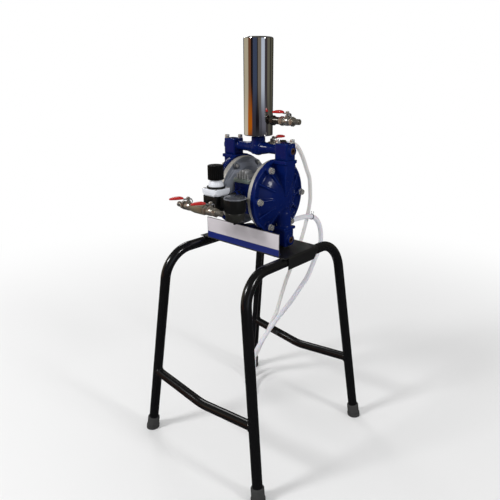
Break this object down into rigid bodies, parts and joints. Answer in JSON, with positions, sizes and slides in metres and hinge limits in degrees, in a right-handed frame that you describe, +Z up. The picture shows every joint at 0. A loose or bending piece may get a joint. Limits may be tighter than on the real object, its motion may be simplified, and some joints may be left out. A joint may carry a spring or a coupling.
{
  "type": "diaphragm pump",
  "caption": "Air-operated double diaphragm pump on a tubular stand, with pulsation tank, air filter and regulator, ball valves and hoses.",
  "frame": {"origin": "centre of the stand's footprint on the floor", "axes": "+Z up, +X along the pump's shaft, -Y towards the sign plate and the air regulator"},
  "size_m": [0.4464, 0.5467, 1.0434],
  "materials": {
    "stand_black": "gloss black powder coat",
    "foot_rubber": "matt black rubber",
    "platform_paint": "satin black powder coat",
    "sign_silver": "satin silver sheet with a blue band",
    "mount_rubber": "matt",
    "pump_paint": "cobalt blue gloss paint",
    "cast_grey": "bead blasted casting",
    "cap_green": "satin casting, slightly green",
    "zinc": "zinc plated",
    "shaft_steel": "ground",
    "membrane": "matt",
    "ball_white": "smooth",
    "tank_steel": "mirror polished stainless",
    "nickel": "nickel plated brass",
    "brass": "turned",
    "black_plastic": "moulded",
    "white_plastic": "moulded",
    "lid_grey": "moulded",
    "lever_steel": "pressed sheet",
    "sleeve_red": "dipped vinyl",
    "hose_milk": "translucent"
  },
  "bodies": {
    "root": {"hoop_left": "stand_black", "hoop_right": "stand_black", "stretchers": "stand_black", "rubber_feet": "foot_rubber", "platform": "platform_paint", "sign_plate": "sign_silver", "pump_mounts": "mount_rubber", "machine_screws": "zinc", "fluid_cover_left": "pump_paint", "fluid_cover_right": "pump_paint", "air_chamber_left": "cast_grey", "air_chamber_right": "cast_grey", "centre_body": "cast_grey", "air_valve_body": "pump_paint", "air_valve_cap": "cap_green", "diaphragm_left": "membrane", "diaphragm_right": "membrane", "upper_manifold": "pump_paint", "lower_manifold": "pump_paint", "valve_seats": "zinc", "cover_bolts": "zinc", "cover_nuts": "zinc", "manifold_bolts": "zinc", "port_plugs": "zinc", "tank_shell": "tank_steel", "pipe_nipples": "brass", "regulator_body": "black_plastic", "regulator_bonnet": "white_plastic", "panel_nut": "black_plastic", "filter_lid": "lid_grey", "filter_body": "black_plastic", "filter_bowl": "black_plastic", "air_tee": "brass", "valve_bodies": "nickel", "suction_hose": "hose_milk", "return_hose": "hose_milk", "hose_clip": "zinc"},
    "shaft_rod": {"shaft": "shaft_steel", "clamp_discs": "zinc"},
    "spool": {"air_valve_spool": "shaft_steel"},
    "suction_ball_l": {"suction_ball_left": "ball_white"},
    "suction_ball_r": {"suction_ball_right": "ball_white"},
    "discharge_ball_l": {"discharge_ball_left": "ball_white"},
    "discharge_ball_r": {"discharge_ball_right": "ball_white"},
    "adjuster": {"adjusting_screw": "zinc"},
    "knob": {"regulator_knob": "black_plastic"},
    "drain": {"drain_cock": "black_plastic"},
    "handle_tee_left": {"stem_tee_left": "nickel", "lever_tee_left": "lever_steel", "sleeve_tee_left": "sleeve_red"},
    "handle_tee_right": {"stem_tee_right": "nickel", "lever_tee_right": "lever_steel", "sleeve_tee_right": "sleeve_red"},
    "handle_outlet": {"stem_outlet": "nickel", "lever_outlet": "lever_steel", "sleeve_outlet": "sleeve_red"},
    "handle_return": {"stem_return": "nickel", "lever_return": "lever_steel", "sleeve_return": "sleeve_red"}
  },
  "joints": [
    {"name": "shaft_slide", "type": "slide", "parent": "root", "child": "shaft_rod", "axis": [1, 0, 0], "range_m": [-0.008, 0.008], "deforming": ["diaphragm_left", "diaphragm_right"]},
    {"name": "spool_slide", "type": "slide", "parent": "root", "child": "spool", "axis": [0, 0, 1], "range_m": [0, 0.005]},
    {"name": "suction_ball_l_lift", "type": "slide", "parent": "root", "child": "suction_ball_l", "axis": [0, 0, 1], "range_m": [0, 0.005]},
    {"name": "suction_ball_r_lift", "type": "slide", "parent": "root", "child": "suction_ball_r", "axis": [0, 0, 1], "range_m": [0, 0.005]},
    {"name": "discharge_ball_l_lift", "type": "slide", "parent": "root", "child": "discharge_ball_l", "axis": [0, 0, 1], "range_m": [0, 0.005]},
    {"name": "discharge_ball_r_lift", "type": "slide", "parent": "root", "child": "discharge_ball_r", "axis": [0, 0, 1], "range_m": [0, 0.005]},
    {"name": "adjuster_turn", "type": "hinge", "parent": "root", "child": "adjuster", "pos_m": [-0.026, -0.108, 0.75], "axis": [0, 0, 1], "range_deg": [-360, 360]},
    {"name": "knob_lift", "type": "slide", "parent": "adjuster", "child": "knob", "axis": [0, 0, 1], "range_m": [0, 0.003]},
    {"name": "drain_turn", "type": "hinge", "parent": "root", "child": "drain", "pos_m": [0.036, -0.108, 0.643], "axis": [0, 0, 1], "range_deg": [0, 90]},
    {"name": "tee_left_lever", "type": "hinge", "parent": "root", "child": "handle_tee_left", "pos_m": [-0.064, -0.163, 0.688], "axis": [0, 0, 1], "range_deg": [-55, 35]},
    {"name": "tee_right_lever", "type": "hinge", "parent": "root", "child": "handle_tee_right", "pos_m": [0.012, -0.163, 0.688], "axis": [0, 0, 1], "range_deg": [-55, 35]},
    {"name": "outlet_lever", "type": "hinge", "parent": "root", "child": "handle_outlet", "pos_m": [0.089, 0.014, 0.881], "axis": [0, 0, 1], "range_deg": [-90, 0]},
    {"name": "return_lever", "type": "hinge", "parent": "root", "child": "handle_return", "pos_m": [0, 0.0717, 0.814], "axis": [0, 0, 1], "range_deg": [0, 90]}
  ]
}
